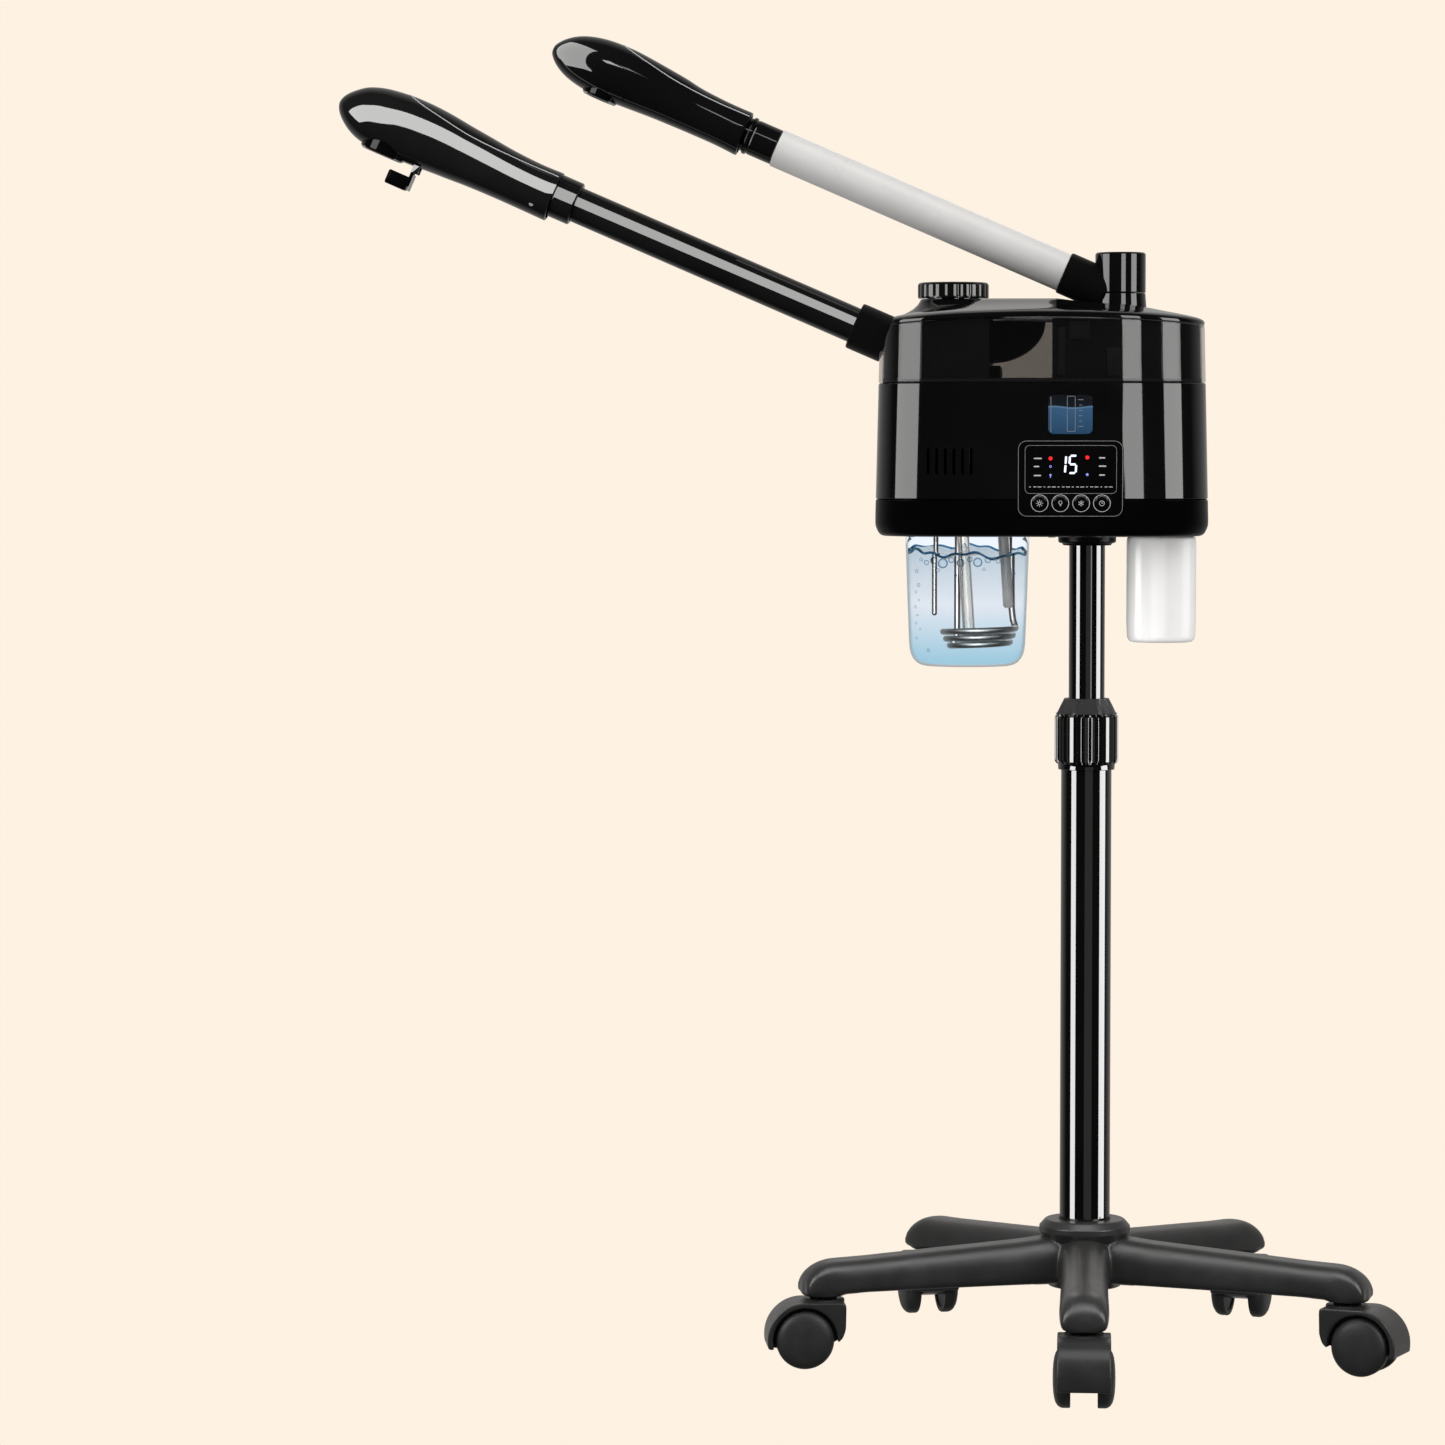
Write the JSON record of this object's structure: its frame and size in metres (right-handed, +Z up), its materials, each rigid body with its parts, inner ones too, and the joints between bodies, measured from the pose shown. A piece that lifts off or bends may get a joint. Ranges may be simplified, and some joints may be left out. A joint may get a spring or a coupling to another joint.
{
  "type": "facial steamer on a caster stand",
  "caption": "Two-arm facial steamer on a height-adjustable column with a star base on casters; a hot steam arm with glass boiling jar and a cool mist arm with cup.",
  "frame": {"origin": "centre of the object's box, on the floor that the casters stand on", "axes": "+Z up along the column, -Y out of the control panel, both arms reach to -X"},
  "size_m": [0.9286, 0.529, 1.1448],
  "materials": {
    "black_gloss": "piano black, polished",
    "black_satin": "moulded satin black",
    "pole_black": "gloss black powder coat on steel tube",
    "base_nylon": "satin moulded nylon",
    "wheel_nylon": "satin moulded nylon",
    "steel": "stainless",
    "grey_plastic": "moulded",
    "jar_glass": "clear heat-proof glass",
    "seal_rubber": "soft silicone",
    "milky_plastic": "milky translucent",
    "pearl_white": "pearl white, satin",
    "smoke_plastic": "smoke transparent",
    "window_blue": "clear window with blue water behind",
    "circuit_board": "solder mask"
  },
  "bodies": {
    "base": {"star_base": "base_nylon", "pole_bolt": "steel", "lower_pole": "pole_black", "collar_bush": "grey_plastic"},
    "clamp": {"clamp_collar": "black_satin"},
    "column": {"upper_pole": "pole_black"},
    "cabinet": {"mount_flange": "black_satin", "bottom_tray": "black_satin", "main_housing": "black_gloss", "water_tank": "smoke_plastic", "top_deck": "black_gloss", "level_window": "window_blue", "panel_fascia": "black_gloss", "display_lens": "black_gloss", "control_board": "circuit_board", "power_board": "circuit_board", "power_inlet": "black_satin", "mist_head": "grey_plastic", "boiler_head": "steel", "heater_coil": "steel", "level_probe": "steel", "fill_tube": "milky_plastic", "thermostat_sheath": "grey_plastic"},
    "fan": {"fan_rotor": "grey_plastic"},
    "cap": {"tank_cap": "black_satin"},
    "jar": {"jar_glass": "jar_glass", "jar_seal": "seal_rubber"},
    "cup": {"cold_cup": "milky_plastic"},
    "hot_mast": {"hot_sleeve": "black_gloss", "hot_tube": "black_gloss"},
    "hot_head": {"hot_collar": "black_gloss", "hot_head_lower": "black_gloss", "hot_head_upper": "black_gloss", "hot_nozzle": "grey_plastic"},
    "aroma": {"aroma_flap": "black_gloss"},
    "cold_mast": {"cold_elbow": "black_gloss", "cold_tube": "pearl_white"},
    "cold_head": {"cold_collar": "black_gloss", "cold_head_lower": "black_gloss", "cold_head_upper": "black_gloss", "cold_nozzle": "grey_plastic"},
    "key_1": {"button_1": "black_gloss"},
    "key_2": {"button_2": "black_gloss"},
    "key_3": {"button_3": "black_gloss"},
    "key_4": {"button_4": "black_gloss"},
    "caster_front": {"caster_front": "base_nylon"},
    "roller_front_a": {"wheel_front_a": "wheel_nylon"},
    "roller_front_b": {"wheel_front_b": "wheel_nylon"},
    "caster_right": {"caster_right": "base_nylon"},
    "roller_right_a": {"wheel_right_a": "wheel_nylon"},
    "roller_right_b": {"wheel_right_b": "wheel_nylon"},
    "caster_back_right": {"caster_back_right": "base_nylon"},
    "roller_back_right_a": {"wheel_back_right_a": "wheel_nylon"},
    "roller_back_right_b": {"wheel_back_right_b": "wheel_nylon"},
    "caster_back_left": {"caster_back_left": "base_nylon"},
    "roller_back_left_a": {"wheel_back_left_a": "wheel_nylon"},
    "roller_back_left_b": {"wheel_back_left_b": "wheel_nylon"},
    "caster_left": {"caster_left": "base_nylon"},
    "roller_left_a": {"wheel_left_a": "wheel_nylon"},
    "roller_left_b": {"wheel_left_b": "wheel_nylon"}
  },
  "joints": [
    {"name": "column_height", "type": "slide", "parent": "base", "child": "column", "axis": [0, 0, 1], "range_m": [-0.12, 0.15]},
    {"name": "clamp_twist", "type": "hinge", "parent": "base", "child": "clamp", "pos_m": [0.18612, 0.02046, 0.54], "axis": [0, 0, 1], "range_deg": [0, 120]},
    {"name": "cabinet_swivel", "type": "hinge", "parent": "column", "child": "cabinet", "pos_m": [0.18612, 0.02046, 0.7], "axis": [0, 0, 1], "range_deg": [-180, 180]},
    {"name": "fan_spin", "type": "hinge", "parent": "cabinet", "child": "fan", "pos_m": [0.25012, 0.05046, 0.794], "axis": [0, 0, 1], "continuous": true},
    {"name": "cap_lift", "type": "slide", "parent": "cabinet", "child": "cap", "axis": [0, 0, 1], "range_m": [0, 0.016]},
    {"name": "jar_drop", "type": "slide", "parent": "cabinet", "child": "jar", "axis": [0, 0, -1], "range_m": [0, 0.12]},
    {"name": "cup_drop", "type": "slide", "parent": "cabinet", "child": "cup", "axis": [0, 0, -1], "range_m": [0, 0.03]},
    {"name": "hot_arm_turn", "type": "hinge", "parent": "cabinet", "child": "hot_mast", "pos_m": [0.01397, 0.02046, 0.8817], "axis": [-0.9171, 0, 0.3987], "range_deg": [-90, 90]},
    {"name": "hot_head_turn", "type": "hinge", "parent": "hot_mast", "child": "hot_head", "pos_m": [-0.27536, 0.02046, 1.00751], "axis": [-0.9171, 0, 0.3987], "range_deg": [-90, 90]},
    {"name": "aroma_swing", "type": "hinge", "parent": "hot_head", "child": "aroma", "pos_m": [-0.39697, 0.02046, 1.02876], "axis": [0, -1, 0], "range_deg": [0, 75]},
    {"name": "cold_post_turn", "type": "hinge", "parent": "cabinet", "child": "cold_mast", "pos_m": [0.21392, 0.02046, 0.9218], "axis": [0, 0, 1], "range_deg": [-135, 135]},
    {"name": "cold_head_turn", "type": "hinge", "parent": "cold_mast", "child": "cold_head", "pos_m": [-0.08252, 0.02046, 1.04781], "axis": [-0.9164, 0, 0.4003], "range_deg": [-90, 90]},
    {"name": "key_press_1", "type": "slide", "parent": "cabinet", "child": "key_1", "axis": [0, 1, 0], "range_m": [0, 0.001], "stiffness_N_per_m": 800},
    {"name": "key_press_2", "type": "slide", "parent": "cabinet", "child": "key_2", "axis": [0, 1, 0], "range_m": [0, 0.001], "stiffness_N_per_m": 800},
    {"name": "key_press_3", "type": "slide", "parent": "cabinet", "child": "key_3", "axis": [0, 1, 0], "range_m": [0, 0.001], "stiffness_N_per_m": 800},
    {"name": "key_press_4", "type": "slide", "parent": "cabinet", "child": "key_4", "axis": [0, 1, 0], "range_m": [0, 0.001], "stiffness_N_per_m": 800},
    {"name": "swivel_front", "type": "hinge", "parent": "base", "child": "caster_front", "pos_m": [0.18612, -0.21504, 0.07], "axis": [0, 0, 1], "continuous": true},
    {"name": "roll_front_a", "type": "hinge", "parent": "caster_front", "child": "roller_front_a", "pos_m": [0.18612, -0.23204, 0.025], "axis": [1, 0, 0], "continuous": true},
    {"name": "roll_front_b", "type": "hinge", "parent": "caster_front", "child": "roller_front_b", "pos_m": [0.18612, -0.23204, 0.025], "axis": [1, 0, 0], "continuous": true},
    {"name": "swivel_right", "type": "hinge", "parent": "base", "child": "caster_right", "pos_m": [0.41009, -0.05231, 0.07], "axis": [0, 0, 1], "continuous": true},
    {"name": "roll_right_a", "type": "hinge", "parent": "caster_right", "child": "roller_right_a", "pos_m": [0.42586, -0.05868, 0.025], "axis": [0.3746, 0.9272, 0], "continuous": true},
    {"name": "roll_right_b", "type": "hinge", "parent": "caster_right", "child": "roller_right_b", "pos_m": [0.42586, -0.05868, 0.025], "axis": [0.3746, 0.9272, 0], "continuous": true},
    {"name": "swivel_back_right", "type": "hinge", "parent": "base", "child": "caster_back_right", "pos_m": [0.32454, 0.21098, 0.07], "axis": [0, 0, 1], "continuous": true},
    {"name": "roll_back_right_a", "type": "hinge", "parent": "caster_back_right", "child": "roller_back_right_a", "pos_m": [0.32894, 0.2274, 0.025], "axis": [-0.9659, 0.2588, 0], "continuous": true},
    {"name": "roll_back_right_b", "type": "hinge", "parent": "caster_back_right", "child": "roller_back_right_b", "pos_m": [0.32894, 0.2274, 0.025], "axis": [-0.9659, 0.2588, 0], "continuous": true},
    {"name": "swivel_back_left", "type": "hinge", "parent": "base", "child": "caster_back_left", "pos_m": [0.0477, 0.21098, 0.07], "axis": [0, 0, 1], "continuous": true},
    {"name": "roll_back_left_a", "type": "hinge", "parent": "caster_back_left", "child": "roller_back_left_a", "pos_m": [0.0433, 0.2274, 0.025], "axis": [-0.9659, -0.2588, 0], "continuous": true},
    {"name": "roll_back_left_b", "type": "hinge", "parent": "caster_back_left", "child": "roller_back_left_b", "pos_m": [0.0433, 0.2274, 0.025], "axis": [-0.9659, -0.2588, 0], "continuous": true},
    {"name": "swivel_left", "type": "hinge", "parent": "base", "child": "caster_left", "pos_m": [-0.03785, -0.05231, 0.07], "axis": [0, 0, 1], "continuous": true},
    {"name": "roll_left_a", "type": "hinge", "parent": "caster_left", "child": "roller_left_a", "pos_m": [-0.05469, -0.05468, 0.025], "axis": [0.1392, -0.9903, 0], "continuous": true},
    {"name": "roll_left_b", "type": "hinge", "parent": "caster_left", "child": "roller_left_b", "pos_m": [-0.05469, -0.05468, 0.025], "axis": [0.1392, -0.9903, 0], "continuous": true}
  ]
}
